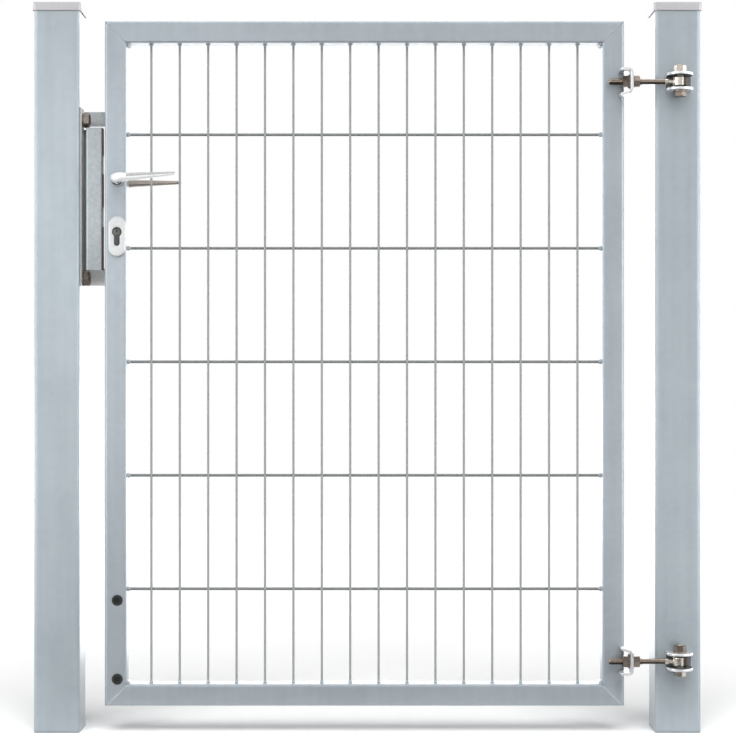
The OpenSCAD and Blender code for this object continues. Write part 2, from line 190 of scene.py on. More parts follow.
def second_finish(piece, material, test, dish=None):
    """Gives the faces that pass the test one more finish, such as the face.normal.x > 0.8 of those
    that look to +X, give or take. A dish of (rim, lift) in millimetres insets them first."""
    pick(piece)
    piece.data.materials.append(material)
    edit("FACE")
    choose(test)
    if dish:
        rim, lift = dish
        bpy.ops.mesh.inset(thickness=rim * MM, depth=lift * MM)
    piece.active_material_index = len(piece.data.materials) - 1
    bpy.ops.object.material_slot_assign()
    clear()


def turned(rings, vertices=48):
    """A round solid along +Z through rings of (radius, height), in millimetres."""
    clear()
    radius, height = rings[0]
    bpy.ops.mesh.primitive_circle_add(vertices=vertices, radius=radius * MM, fill_type="NGON",
                                      location=(0, 0, height * MM))
    bpy.ops.object.transform_apply(location=True)
    edit("FACE")
    for wide, high in rings[1:]:
        extrude(0, 0, high - height)
        bpy.ops.transform.resize(value=(wide / radius, wide / radius, 1))
        radius, height = wide, high
    mend()
    return bpy.context.object


def cut(piece, tool, operation="DIFFERENCE"):
    """Cuts tool out of piece, or joins or crosses the two, and removes the tool."""
    modify(piece, "BOOLEAN", object=tool, operation=operation, solver="EXACT")
    bpy.data.objects.remove(tool)
    return piece


def softened(name, node, width, body, material, segments=2, angle=30):
    """A copy of a sheet or block whose sharp edges are rounded by width in millimetres."""
    piece = pick(twin(NODES[node], name))
    edit()
    bpy.ops.mesh.remove_doubles(threshold=0.001 * MM)
    bpy.ops.mesh.dissolve_limited(angle_limit=math.radians(0.5))
    leave()
    modify(piece, "BEVEL", width=width * MM, segments=segments, limit_method="ANGLE",
           angle_limit=math.radians(angle), use_clamp_overlap=False)
    return finish(piece, name, body, material, [node])


# ---------- places from the frame ----------


def middle(node):
    """The middle of a CAD node's box."""
    lo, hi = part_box(node)
    return (lo + hi) / 2


stile_lo, stile_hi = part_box("latch_stile")
TUBE = stile_hi.x - stile_lo.x
FRONT_Y, BACK_Y = stile_lo.y, stile_hi.y
MID_Y = (FRONT_Y + BACK_Y) / 2
LEAF_X0, LEAF_X1 = stile_lo.x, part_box("hinge_stile")[1].x
LEAF_Z0, LEAF_Z1 = stile_lo.z, stile_hi.z
INNER_X0, INNER_X1 = LEAF_X0 + TUBE, LEAF_X1 - TUBE
INNER_Z0, INNER_Z1 = LEAF_Z0 + TUBE, LEAF_Z1 - TUBE
leaf_swing = next(joint for joint in frame["joints"] if joint["name"] == "leaf_swing")
AXIS_Y = leaf_swing["pos_m"][1]

# ---------- camera ----------

# Level with the middle of the gate, 3.5 m in front of it
CAMERA_AT = (-0.5437, -3.525, 0.640)
LENS, SENSOR = 97.2, 36
clear()
bpy.ops.object.camera_add(location=CAMERA_AT, rotation=(QUARTER, 0, 0))
camera = bpy.context.object
camera.data.lens = LENS
camera.data.sensor_width = SENSOR
bpy.context.scene.camera = camera
bpy.context.scene.view_settings.view_transform = "Standard"

# ---------- light ----------

# Strength of the white walls in the gloss of metal, and of the light that they give dull surfaces
WALLS, FILL = 1.0, 0.36
# What share of that the ceiling has in the gloss, and how many times it the wall behind the gate has
CEILING, BEHIND = 0.45, 3.2


def white_studio():
    """White walls all round, plain white to the camera. Metal sees a dim ceiling, and behind the gate
    a wall that is lit brighter, so faces that are seen edge on turn white."""
    world = bpy.data.worlds.new("white_studio")
    world.use_nodes = True
    bpy.context.scene.world = world
    tree = world.node_tree
    tree.nodes.clear()
    ray = add(tree, "ShaderNodeLightPath")
    toward = add(tree, "ShaderNodeTexCoord")
    toward = add(tree, "ShaderNodeSeparateXYZ", {0: toward.outputs["Generated"]})
    # Both fade in with a ray's direction: from 0.3 to 0.9 of straight up, and from -0.1 to 0.6 of
    # straight back
    above = add(tree, "ShaderNodeMapRange", {"Value": toward.outputs[2], "From Min": 0.3, "From Max": 0.9,
                                             "To Min": WALLS, "To Max": WALLS * CEILING})
    behind = add(tree, "ShaderNodeMapRange", {"Value": toward.outputs[1], "From Min": -0.1,
                                              "From Max": 0.6, "To Min": 1.0, "To Max": BEHIND})
    gloss = add(tree, "ShaderNodeMath", {0: behind.outputs[0], 1: above.outputs[0]}, operation="MULTIPLY")
    gloss = add(tree, "ShaderNodeMath", {0: ray.outputs["Is Glossy Ray"], 1: gloss.outputs[0]},
                operation="MULTIPLY")
    level = add(tree, "ShaderNodeMath", {0: gloss.outputs[0], 1: FILL}, operation="MAXIMUM")
    level = add(tree, "ShaderNodeMath", {0: level.outputs[0], 1: ray.outputs["Is Camera Ray"]},
                operation="MAXIMUM")
    walls = add(tree, "ShaderNodeBackground", {"Color": linear("ffffff"), "Strength": level.outputs[0]})
    add(tree, "ShaderNodeOutputWorld", {"Surface": walls.outputs[0]})


def lamp(name, kind, energy, at, aim):
    """A white lamp at a place, aimed at a point, that the camera doesn't see."""
    bpy.ops.object.light_add(type=kind, location=at)
    light = bpy.context.object
    light.name = name
    light.data.energy = energy
    light.data.color = (1, 1, 1)
    light.rotation_euler = (Vector(aim) - Vector(at)).to_track_quat("-Z", "Y").to_euler()
    light.visible_camera = False
    return light


def reflector(name, energy, at, aim, size):
    """A soft box of that width and height in metres that only shows in the metal."""
    box = lamp(name, "AREA", energy, at, aim)
    box.data.shape = "RECTANGLE"
    box.data.size, box.data.size_y = size
    box.visible_diffuse = False


white_studio()
# A wide sky over the front of the gate: it lights the floor and draws the soft shadows
sky = lamp("overhead_sky", "SUN", energy=3.5, at=(-0.55, -1.97, 2.9), aim=(-0.55, 0, 0.64))
sky.data.angle = math.radians(50)
sky.visible_glossy = False
# Beside the gate: the right one is the stronger
reflector("left_box", energy=38, at=(-3.2, -1.4, 1.05), aim=(-1.0, 0, 0.7), size=(2.2, 2.2))
reflector("right_box", energy=48, at=(2.2, -1.4, 1.0), aim=(0.0, 0, 0.7), size=(2.2, 2.2))
# Before it on the left, as high as the lock
reflector("front_box", energy=2.8, at=(-1.36, -2.6, 1.08), aim=(-1.0, 0, 0.88), size=(0.7, 0.7))
# Behind it, low down: the foot of the gate would show the floor there instead of the wall
reflector("low_screen", energy=14, at=(-0.55, 0.9, 0.3), aim=(-0.55, 0, 0.3), size=(4.0, 0.6))
# Above: it puts the highlight on top of round parts
reflector("top_box", energy=20, at=(-0.55, -0.3, 2.7), aim=(-0.55, 0, 1.0), size=(3.0, 0.7))

# ---------- finishes ----------

# Noise mostly lies between these two values
SOFT = {"From Min": 0.3, "From Max": 0.7}


def begun(name, slot):
    """A new material for that slot, its empty node tree and its object coordinates."""
    material = bpy.data.materials.new(name)
    material["slot"] = slot
    material.use_nodes = True
    tree = material.node_tree
    tree.nodes.clear()
    coordinates = add(tree, "ShaderNodeTexCoord")
    return material, tree, coordinates.outputs["Object"]


# Hot-dip galvanised steel tube: a dull blue-grey zinc skin with faint crystals about 9 mm wide,
# wide clouds and long soft streaks where the zinc ran off. Its corners shade round over round_off mm
def galvanised(name, slot, dark, light, round_off):
    material, tree, at = begun(name, slot)
    crystals = add(tree, "ShaderNodeTexVoronoi", {"Vector": at, "Scale": 1 / (9 * MM), "Randomness": 1.0},
                   feature="SMOOTH_F1")
    crystal = add(tree, "ShaderNodeSeparateColor", {"Color": crystals.outputs["Color"]})
    clouds = add(tree, "ShaderNodeTexNoise", {"Vector": at, "Scale": 1 / (130 * MM), "Detail": 3})
    clouds = add(tree, "ShaderNodeMapRange", {**SOFT, "Value": clouds.outputs["Fac"],
                                              "To Min": 0.1, "To Max": 0.9})
    streaks = add(tree, "ShaderNodeMapping", {"Vector": at, "Scale": (1, 1, 0.04)})
    streaks = add(tree, "ShaderNodeTexNoise", {"Vector": streaks.outputs[0], "Scale": 1 / (14 * MM),
                                               "Detail": 3})
    streaks = add(tree, "ShaderNodeMapRange", {**SOFT, "Value": streaks.outputs["Fac"]})
    mixed = add(tree, "ShaderNodeMath", {0: clouds.outputs[0], 1: 0.5}, operation="MULTIPLY")
    mixed = add(tree, "ShaderNodeMath", {0: streaks.outputs[0], 1: 0.3, 2: mixed.outputs[0]},
                operation="MULTIPLY_ADD")
    mixed = add(tree, "ShaderNodeMath", {0: crystal.outputs[0], 1: 0.2, 2: mixed.outputs[0]},
                operation="MULTIPLY_ADD")
    colour = add(tree, "ShaderNodeMix", {0: mixed.outputs[0], 6: linear(dark), 7: linear(light)},
                 data_type="RGBA")
    polish = add(tree, "ShaderNodeMapRange", {"Value": crystal.outputs[1], "To Min": 0.3, "To Max": 0.37})
    grain = add(tree, "ShaderNodeTexNoise", {"Vector": at, "Scale": 1 / (5 * MM), "Detail": 3})
    corners = add(tree, "ShaderNodeBevel", {"Radius": round_off * MM}, samples=6)
    bump = add(tree, "ShaderNodeBump", {"Height": grain.outputs["Fac"], "Strength": 1.0,
                                        "Distance": 0.02 * MM, "Normal": corners.outputs[0]})
    shader = add(tree, "ShaderNodeBsdfPrincipled", {
        "Base Color": colour.outputs[2], "Metallic": 0.5, "Roughness": polish.outputs[0],
        "Normal": bump.outputs[0]})
    add(tree, "ShaderNodeOutputMaterial", {"Surface": shader.outputs[0]})
    return material


post_zinc = galvanised("galvanised_post_tube", "galvanised_post", "939ca2", "a4adb2", 9)
frame_zinc = galvanised("galvanised_frame_tube", "galvanised_frame", "91999f", "a2a9af", 5)


# Small metal parts: one even colour with fine mottling, a polish that varies a little, and a skin
# whose grain is that wide and depth that deep in millimetres. Dull coats are less metallic
def plated(name, slot, dark, light, roughness, grain=4, depth=0.01, metallic=1.0, shine=0.5):
    material, tree, at = begun(name, slot)
    mottle = add(tree, "ShaderNodeTexNoise", {"Vector": at, "Scale": 1 / (grain * MM), "Detail": 3})
    mottle = add(tree, "ShaderNodeMapRange", {**SOFT, "Value": mottle.outputs["Fac"]})
    colour = add(tree, "ShaderNodeMix", {0: mottle.outputs[0], 6: linear(dark), 7: linear(light)},
                 data_type="RGBA")
    polish = add(tree, "ShaderNodeTexNoise", {"Vector": at, "Scale": 1 / (3 * grain * MM), "Detail": 3})
    polish = add(tree, "ShaderNodeMapRange", {**SOFT, "Value": polish.outputs["Fac"],
                                              "To Min": roughness - 0.05, "To Max": roughness + 0.05})
    skin = add(tree, "ShaderNodeTexNoise", {"Vector": at, "Scale": 2 / (grain * MM), "Detail": 3})
    bump = add(tree, "ShaderNodeBump", {"Height": skin.outputs["Fac"], "Strength": 1.0,
                                        "Distance": depth * MM})
    shader = add(tree, "ShaderNodeBsdfPrincipled", {
        "Base Color": colour.outputs[2], "Metallic": metallic, "Roughness": polish.outputs[0],
        "Specular IOR Level": shine, "Normal": bump.outputs[0]})
    add(tree, "ShaderNodeOutputMaterial", {"Surface": shader.outputs[0]})
    return material


# Drawn galvanised wire: dull, with painted light on the thin uprights and painted shade on the thicker
# level wires
WIRE = "galvanised_wire"
upright_zinc = plated("pale_drawn_wire", WIRE, "8b8d8e", "979999", 0.6, metallic=0.2, shine=0.1)
level_zinc = plated("dull_drawn_wire", WIRE, "757879", "838586", 0.45, metallic=0.5, shine=0.1)

# Arc weld under a zinc spray: lumpy, a little duller than the tube
weld_zinc = plated("zinc_sprayed_weld", "galvanised_frame", "899197", "9ca4aa", 0.45, 2, 0.05, 0.5)

# Cast aluminium cap: neutral satin grey with fine casting grain
cap_metal = plated("cast_aluminium_cap", "post_cap", "aaa9ab", "b3b2b4", 0.5, 3, 0.02, 0.5)

# Zinc-plated steel sheet with fine rolling grain. The stop bracket is dull and neutral grey, its flange and
# lower tab matt and painted pale as painted light, and the flange's rim painted darker as painted shade.
# The strike is blue-grey and the hinge brackets are bright
ZINC = "zinc_plate"
tab_zinc = plated("dull_zinc_bracket", ZINC, "a9adae", "b8bbbb", 0.45, 5, 0.02, 0.6)
flange_zinc = plated("pale_zinc_flange", ZINC, "e6e4e0", "efede9", 0.7, 5, 0.02, 0.0)
flange_edge = plated("dull_flange_edge", ZINC, "8e9192", "9c9fa0", 0.6, 4, 0.02, 0.4)
plate_zinc = plated("zinc_plated_sheet", ZINC, "959c9f", "a3a9ac", 0.4, 6, metallic=0.6)
bracket_zinc = plated("zinc_plated_bracket", ZINC, "d0d1d3", "e0e1e3", 0.3, 4, metallic=0.7)
# Cut edges of the strike: the long one painted dark brown as painted shade, those at the windows painted
# bright as painted light
shaded_lip_edge = plated("stained_sheet_edge", ZINC, "5a4e4a", "6a5d58", 0.8, 3, 0.02, 0.2)
window_edge = plated("bright_sheared_edge", ZINC, "f4f4f2", "fafaf8", 0.4, 3, 0.01, 0.1)
# Inside the hinge brackets' forks the zinc is duller and painted dark as painted shade
hollow_zinc = plated("dull_zinc_in_the_fork", ZINC, "5e6062", "6e7072", 0.5, 4, 0.02, 0.5)

# Cold-formed stainless steel: warm grey and bright where it is forged or turned, browner on rolled threads
# and weathered heads, and dark on the lug nuts. Painted light and painted shade make one end of each hinge
# bolt bright and the other dark, and painted shade makes it nearly black along threads' undersides, on the
# eyes' far sides and on the strike bolts' head ends
BOLT = "stainless_bolt"
bright_steel = plated("bright_cold_formed_stainless", BOLT, "bab4aa", "cac4ba", 0.24, 5)
bolt_steel = plated("cold_formed_stainless", BOLT, "a9a097", "bab2aa", 0.24, 5)
thread_steel = plated("rolled_stainless_thread", BOLT, "8f8378", "a1958a", 0.2, 3)
dark_steel = plated("dark_rolled_stainless", BOLT, "786e66", "8a8077", 0.32, 4)
head_steel = plated("weathered_stainless_head", BOLT, "7a726b", "8a827a", 0.36, 4)
shaded_thread_underside = plated("oily_thread_underside", BOLT, "38312c", "463e38", 0.35, 3)
end_steel = plated("sawn_stainless_end", BOLT, "3a332f", "463e3a", 0.5, 3)

# Satin stainless steel of the faceplate, latch, dead bolt and spindle: even light grey with wide soft
# highlights
satin_steel = plated("satin_stainless", "stainless_plate", "b4b6b8", "c6c8ca", 0.35, 5)

# Satin anodised aluminium of the handles and covers: pale with soft reflections. The grip is painted duller
# on top as painted shade and paler below as painted light. The rose's face and the lever's neck are
# polished and painted dark as painted shade, and the back lever is painted darker as painted shade, and
# warmer
ALUMINIUM = "satin_aluminium"
anodised = plated("satin_anodised_aluminium", ALUMINIUM, "e0e1e2", "e8e9ea", 0.4, 3, 0.005, 0.4)
grip_top = plated("handled_aluminium", ALUMINIUM, "9a9b9a", "a5a6a5", 0.45, 3, 0.005, 0.4)
grip_under = plated("fresh_aluminium_underside", ALUMINIUM, "dedfdf", "e6e7e7", 0.5, 3, 0.005, 0.2)
cover_metal = plated("satin_anodised_cover", ALUMINIUM, "bcbdbe", "c8c9ca", 0.4, 3, 0.005, 0.6)
rose_metal = plated("dark_polished_rose", ALUMINIUM, "3c3d3d", "4a4b4b", 0.25, 4)
shaded_back_lever_metal = plated("brushed_aluminium_lever", ALUMINIUM, "a19a92", "b1aaa2", 0.35, 3)

# Nickel-plated brass cylinder, painted dark as painted shade, its ends and the key pins a little paler
CYLINDER = "dark_cylinder"
dark_nickel = plated("dark_nickel_cylinder", CYLINDER, "484c4c", "565a5a", 0.35, 3)
core_nickel = plated("worn_nickel_core", CYLINDER, "5e5e5a", "6c6c68", 0.35, 2)
pin_brass = plated("dull_brass_pin", CYLINDER, "6e6a60", "7e7a70", 0.4, 2)


# Moulded black polyethylene: matt, with a fine grained skin
def moulded(name, slot, dark, light):
    material, tree, at = begun(name, slot)
    grain = add(tree, "ShaderNodeTexNoise", {"Vector": at, "Scale": 1 / (1.5 * MM), "Detail": 3})
    colour = add(tree, "ShaderNodeMix", {0: grain.outputs["Fac"], 6: linear(dark), 7: linear(light)},
                 data_type="RGBA")
    polish = add(tree, "ShaderNodeMapRange", {**SOFT, "Value": grain.outputs["Fac"],
                                              "To Min": 0.5, "To Max": 0.62})
    bump = add(tree, "ShaderNodeBump", {"Height": grain.outputs["Fac"], "Strength": 1.0,
                                        "Distance": 0.03 * MM})
    shader = add(tree, "ShaderNodeBsdfPrincipled", {
        "Base Color": colour.outputs[2], "Metallic": 0.0, "Roughness": polish.outputs[0],
        "Specular IOR Level": 0.3, "Normal": bump.outputs[0]})
    add(tree, "ShaderNodeOutputMaterial", {"Surface": shader.outputs[0]})
    return material


black_plastic = moulded("moulded_black_plastic", "black_plug", "1c1e1e", "282a2a")
# The same plastic painted blacker as painted shade, for the plugs' dished middles
deep_plastic = moulded("shaded_black_plastic", "black_plug", "060707", "0c0d0d")


def dress(node, material):
    """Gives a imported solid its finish."""
    NODES[node].data.materials.clear()
    NODES[node].data.materials.append(material)


for node in ("hinge_post", "latch_post"):
    dress(node, post_zinc)
for node in ("latch_stile", "hinge_stile", "top_rail", "bottom_rail", "wire_infill"):
    dress(node, frame_zinc)
for node in ("lock_faceplate", "latch_tongue", "dead_bolt", "spindle"):
    dress(node, satin_steel)

# ---------- floor ----------


def studio_sheet(name, coat, colour, at, size):
    """A flat sheet on the floor with a matt coat."""
    clear()
    bpy.ops.mesh.primitive_plane_add(size=1, location=at)
    sheet = bpy.context.object
    sheet.name = name
    sheet.scale = (*size, 1)
    bpy.ops.object.transform_apply(scale=True, location=True)
    matt = bpy.data.materials.new(coat)
    matt.use_nodes = True
    tree = matt.node_tree
    tree.nodes.clear()
    paint = add(tree, "ShaderNodeBsdfDiffuse", {"Color": linear(colour)})
    add(tree, "ShaderNodeOutputMaterial", {"Surface": paint.outputs[0]})
    sheet.data.materials.append(matt)
    return sheet


# Smooth white board: the lamps take it to the white of the walls, and only the shadow shows
floor = studio_sheet("studio_floor", "white_board", "f4f4f4", at=(-0.55, 0.5, 0), size=(9, 9))
# Dark felt on the floor before the gate, seen only in the metal: round parts turn dark below
cloth = studio_sheet("dark_floor_cloth", "dark_felt", "1c1512", at=(-0.54, -0.85, 0.004), size=(1.3, 1.1))
cloth.visible_camera = False
cloth.visible_diffuse = False
cloth.visible_shadow = False

# ---------- posts ----------

# In millimetres. Both sheets are 3 thick, so the stop bracket's flange lies within 4 of the post, and
# the strike's lip within 3.2 of its side that faces the leaf. The bracket's lower tab is 30 high
FLANGE_IN, LIP_IN, TAB_H = 4, 3.2, 30
# The edge behind each of the strike's windows, painted bright as painted light, lies more than 12 behind
# its front, and is that far up and down from the middle of what goes through the window
EDGE_IN = 12
EDGE_HALF = {"latch_tongue": 15.5, "dead_bolt": 17}


def stop_plate():
    """The stop bracket, its flange and lower tab painted pale as painted light, and the flange's rim
    painted dull as painted shade.
    """
    piece = softened("stop_bracket_plate", "stop_bracket", 0.5, POSTS, tab_zinc)
    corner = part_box("stop_bracket")[0]
    flange_x = corner.x + FLANGE_IN * MM
    tab_z = corner.z + TAB_H * MM
    second_finish(piece, flange_zinc, lambda face: face.normal.x > 0.8 and face.center.x < flange_x
                  or face.normal.y < -0.9 and face.center.z < tab_z and face.center.x > flange_x)
    second_finish(piece, flange_edge, lambda face: face.normal.y < -0.5 and face.center.x < flange_x)


def strike_sheet():
    """The folded strike: its lip painted dark along its length as painted shade, and bright behind each
    window as painted light.
    """
    piece = softened("strike_sheet", "strike_plate", 0.3, POSTS, plate_zinc)
    lo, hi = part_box("strike_plate")
    lip_x = hi.x - LIP_IN * MM
    second_finish(piece, shaded_lip_edge, lambda face: face.normal.x > 0.6 and face.center.x > lip_x)
    windows = [(middle(node).z - half * MM, middle(node).z + half * MM)
               for node, half in EDGE_HALF.items()]
    pick(piece)
    edit("FACE")
    for window in windows:
        for z in window:
            slice_all((0, 0, z), (0, 0, 1))
    leave()
    second_finish(piece, window_edge, lambda face: face.center.x > lip_x
                  and face.center.y > lo.y + EDGE_IN * MM
                  and any(low < face.center.z < high for low, high in windows))


for side in ("hinge", "latch"):
    softened(f"{side}_cap_rounded", f"{side}_post_cap", 1.2, POSTS, cap_metal, 3)
stop_plate()
strike_sheet()

# ---------- fasteners ----------

# In millimetres: a nut across its flats, and how thick a nut, a bolt's head and a washer are
NUT_AF, NUT_T, HEAD_T = 19, 10, 8
WASHER_D, WASHER_T = 24, 2.5
# Radius of the hinge bolts and the eye bolts, with the pitch and depth of their threads
BOLT_R, PITCH, THREAD_DEPTH = 6, 1.75, 0.55
CORE_R, CORE_END_R = BOLT_R - THREAD_DEPTH, 5.0
# Shares of the pitch in each flank, the crest and the root of the thread
FLANK, CREST, ROOT = 0.3325, 0.21875, 0.11625


def washer(wide=WASHER_D):
    """Plain washer with worn edges."""
    r = wide / 2
    return turned([(r - 0.5, 0), (r, 0.4), (r, WASHER_T - 0.4), (r - 0.5, WASHER_T)])


def hexagon(height, base, flats=NUT_AF):
    """Hexagon with both ends turned to a chamfer, standing at base."""
    corner = flats / 2 / math.cos(math.radians(30))
    slope = (corner - flats / 2) * math.tan(math.radians(30)) + 0.1
    clear()
    bpy.ops.mesh.primitive_cylinder_add(vertices=6, radius=corner * MM, depth=height * MM,
                                        location=(0, 0, (base + height / 2) * MM))
    prism = bpy.context.object
    bpy.ops.object.transform_apply(location=True)
    narrow, wide, top = flats / 2 - 0.2, corner + 0.2, base + height
    turning = turned([(narrow, base), (wide, base + slope), (wide, top - slope), (narrow, top)], 96)
    return cut(prism, turning, "INTERSECT")


def thread(start, stop):
    """Rolled thread along +Z, closed at both ends."""
    clear()
    bpy.ops.mesh.primitive_plane_add(size=MM)
    edit()
    bpy.ops.mesh.merge(type="CENTER")
    bpy.ops.transform.translate(value=(CORE_R * MM, 0, start * MM))
    for outward, share in ((THREAD_DEPTH, FLANK), (0, CREST), (-THREAD_DEPTH, FLANK), (0, ROOT)):
        extrude(outward, 0, share * PITCH)
    leave()
    piece = bpy.context.object
    turns = max(1, round((stop - start) / PITCH) - 1)
    modify(piece, "SCREW", axis="Z", angle=math.radians(360), screw_offset=PITCH * MM, iterations=turns,
           steps=24, render_steps=24, use_merge_vertices=True, merge_threshold=0.001 * MM)
    edit()
    bpy.ops.mesh.remove_doubles(threshold=0.02 * MM)
    bpy.ops.mesh.select_all(action="DESELECT")
    bpy.ops.mesh.select_non_manifold()
    bpy.ops.mesh.fill_holes(sides=0)
    leave()
    mend()
    return piece


# A nut on its washer, standing at the origin, that every nut is copied from
nut_shape = join([hexagon(NUT_T, WASHER_T), washer()])
nut_shape.name = "nut_shape"


def nut(name, node, body, steel, at, turn):
    """A nut on its washer in place of that CAD node."""
    piece = place(twin(nut_shape, name), at, turn)
    finish(piece, name, body, steel, [node])


# ---------- hinges ----------

# In millimetres: the fork's height. Its inside, painted dark as painted shade, lies more than 4 from its
# top and its foot, and more than 1 off the post
FORK_H, INSIDE, OFF_POST = 31, 4, 1
# Thickness of the lug, and how far the hinge bolt stands out of its nut
LUG_T, BOLT_OVER = 5, 2
# How the flats of the hinge bolt's head and nut happen to stand, in degrees
HEAD_TURN, NUT_TURN = 8, 20
# The eye: its radius, half its height and its bore
EYE_R, EYE_HALF, BORE_R = 13, 8.5, 6.1
# Its neck from the middle outwards, as (radius, distance), and where its thread starts and ends
NECK = [(7.2, 0), (6.9, 9), (4.7, 27), (4.7, 72)]
THREAD_FROM, STEM = 70, 124
# Toward the leaf the thread's finish starts 26 from the axis, and away from it the eye is painted dark as
# painted shade from 4
NECK_END, EYE_DARK = 26, 4


def hinge_fork(height):
    """The forked bracket on the post, painted dark as painted shade inside between its ears."""
    lo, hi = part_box(f"{height}_hinge_bracket")
    piece = softened(f"{height}_bracket_forged", f"{height}_hinge_bracket", 1.0, POSTS, bracket_zinc, 3)
    low, high = lo.z + INSIDE * MM, hi.z - INSIDE * MM
    back_y = hi.y - OFF_POST * MM
    second_finish(piece, hollow_zinc, lambda face: low < face.center.z < high
                  and face.center.y < back_y and abs(face.normal.x) < 0.5)


def hinge_bolt(height, low_steel):
    """The bolt through fork and eye, its head below and its thread standing out of the nut."""
    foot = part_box(f"{height}_hinge_bracket")[0].z
    head = join([hexagon(HEAD_T, WASHER_T), washer()])
    place(head, (0, 0, 0), (HALF, 0, math.radians(HEAD_TURN)))
    length = FORK_H + WASHER_T + NUT_T + BOLT_OVER
    shank = turned([(BOLT_R, -1), (BOLT_R, FORK_H + 3)])
    end = thread(FORK_H + 2, length)
    tip = turned([(CORE_R, FORK_H), (CORE_R, length - 0.3), (CORE_END_R, length)], 32)
    piece = place(join([head, shank, end, tip]), (0, AXIS_Y, foot))
    finish(piece, f"{height}_hinge_bolt", POSTS, bolt_steel, [f"{height}_hinge_pin"])
    # The head below takes low_steel: painted light on one hinge, painted shade on the other
    second_finish(piece, low_steel, lambda face: face.center.z < foot)


def eye_bolt(height):
    """A forged eye with a tapered neck, then a rolled thread; painted shade darkens the thread's underside
    and the eye's far side.
    """
    eye = turned([(EYE_R - 1.5, -EYE_HALF), (EYE_R - 0.5, 0.6 - EYE_HALF), (EYE_R, 1.5 - EYE_HALF),
                  (EYE_R, EYE_HALF - 1.5), (EYE_R - 0.5, EYE_HALF - 0.6), (EYE_R - 1.5, EYE_HALF)], 64)
    neck = place(turned(NECK), (0, 0, 0), (0, -QUARTER, 0))
    eye = cut(eye, neck, "UNION")
    modify(eye, "REMESH", mode="VOXEL", voxel_size=0.7 * MM, use_smooth_shade=True)
    modify(eye, "SMOOTH", factor=0.5, iterations=6)
    bore = turned([(BORE_R, -2 * EYE_HALF), (BORE_R, 2 * EYE_HALF)], 64)
    eye = cut(eye, bore)
    stem = thread(THREAD_FROM, STEM - 0.8)
    core = turned([(CORE_R, THREAD_FROM - 4), (CORE_R, STEM - 0.6), (CORE_END_R, STEM)], 32)
    stem = place(join([stem, core]), (0, 0, 0), (0, -QUARTER, 0))
    piece = place(join([eye, stem]), (0, AXIS_Y, middle(f"{height}_hinge_bracket").z))
    finish(piece, f"{height}_forged_eye_bolt", LEAF, bright_steel, [f"{height}_eye_bolt"])
    neck_x, dark_x = -NECK_END * MM, EYE_DARK * MM
    second_finish(piece, thread_steel, lambda face: face.center.x < neck_x)
    second_finish(piece, shaded_thread_underside, lambda face: face.center.x < neck_x and face.normal.z < -0.2)
    second_finish(piece, end_steel, lambda face: face.center.x > dark_x)


for height in ("upper", "lower"):
    # Painted light and painted shade: the upper hinge bolt is bright on top and dark below, and the lower
    # one the other way round
    top_steel, low_steel = (bright_steel, dark_steel) if height == "upper" else (dark_steel, bright_steel)
    hinge_fork(height)
    softened(f"{height}_lug_folded", f"{height}_lug", 1.0, LEAF, bracket_zinc, 3)
    bracket_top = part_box(f"{height}_hinge_bracket")[1].z
    axis_z = middle(f"{height}_hinge_bracket").z
    lug_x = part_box(f"{height}_lug")[1].x
    # Nuts each side of the lug, and the one on top of the hinge bolt
    nut(f"{height}_inner_hex_nut", f"{height}_inner_nut", LEAF, dark_steel,
        (lug_x - LUG_T * MM, AXIS_Y, axis_z), (0, -QUARTER, 0))
    nut(f"{height}_outer_hex_nut", f"{height}_outer_nut", LEAF, dark_steel,
        (lug_x, AXIS_Y, axis_z), (0, QUARTER, 0))
    nut(f"{height}_pin_hex_nut", f"{height}_pin_nut", POSTS, top_steel,
        (0, AXIS_Y, bracket_top), (0, 0, math.radians(NUT_TURN)))
    hinge_bolt(height, low_steel)
    eye_bolt(height)
bpy.data.objects.remove(nut_shape)

# ---------- strike bolts ----------

# In millimetres: the head across its flats and its thickness, the washer, the shank's radius and its
# length in the post, and how much of the head counts as its end
STRIKE_AF, STRIKE_HEAD_T, STRIKE_WASHER_D = 24, 10, 26
STRIKE_R, STRIKE_IN, HEAD_END = 4, 18, 3


def strike_bolt(height, turn):
    """Hexagon bolt through the stop bracket into the post, its flats turned by that many degrees and
    the end of its head painted dark as a painted reflection of shade."""
    top_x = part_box(f"{height}_strike_bolt")[1].x
    centre = middle(f"{height}_strike_bolt")
    head = hexagon(STRIKE_HEAD_T, WASHER_T, STRIKE_AF)
    place(head, (0, 0, 0), (0, 0, math.radians(turn)))
    shank = turned([(STRIKE_R, -STRIKE_IN), (STRIKE_R, 0.5)], 32)
    piece = join([head, washer(STRIKE_WASHER_D), shank])
    place(piece, (top_x - (STRIKE_HEAD_T + WASHER_T) * MM, centre.y, centre.z), (0, QUARTER, 0))
    finish(piece, f"{height}_strike_hex_bolt", POSTS, head_steel, [f"{height}_strike_bolt"])
    end_x = top_x - HEAD_END * MM
    second_finish(piece, end_steel, lambda face: face.normal.x > 0.3 and face.center.x > end_x)


strike_bolt("upper", 30)
strike_bolt("lower", 60)

# ---------- wire infill ----------

# Radius of the wires in millimetres
UPRIGHT_R, LEVEL_R = 2.0, 2.5
# Each crossing presses them to this share of their depth over 1.2 mm each side, and eases off by 3 mm
PRESSED, FLAT_HALF, EASED_HALF = 0.93, 1.2, 3.0
UPRIGHTS, LEVELS = 16, 5
UPRIGHT_STEP, LEVEL_STEP = 50 * MM, 200 * MM
# How much higher than the middle of the frame the level wires hang
LEVEL_RISE = 3 * MM
wire_lo, wire_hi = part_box("wire_infill")
UPRIGHT_X = (INNER_X0 + INNER_X1) / 2 - (UPRIGHTS - 1) / 2 * UPRIGHT_STEP
UPRIGHT_Y = wire_lo.y + UPRIGHT_R * MM
LEVEL_Y = wire_hi.y - LEVEL_R * MM
LEVEL_Z = (LEAF_Z0 + LEAF_Z1) / 2 + LEVEL_RISE - (LEVELS - 1) / 2 * LEVEL_STEP
# From each upright wire to the next, and from each level wire to the next
ALONG, UP = (UPRIGHT_STEP, 0, 0), (0, 0, LEVEL_STEP)


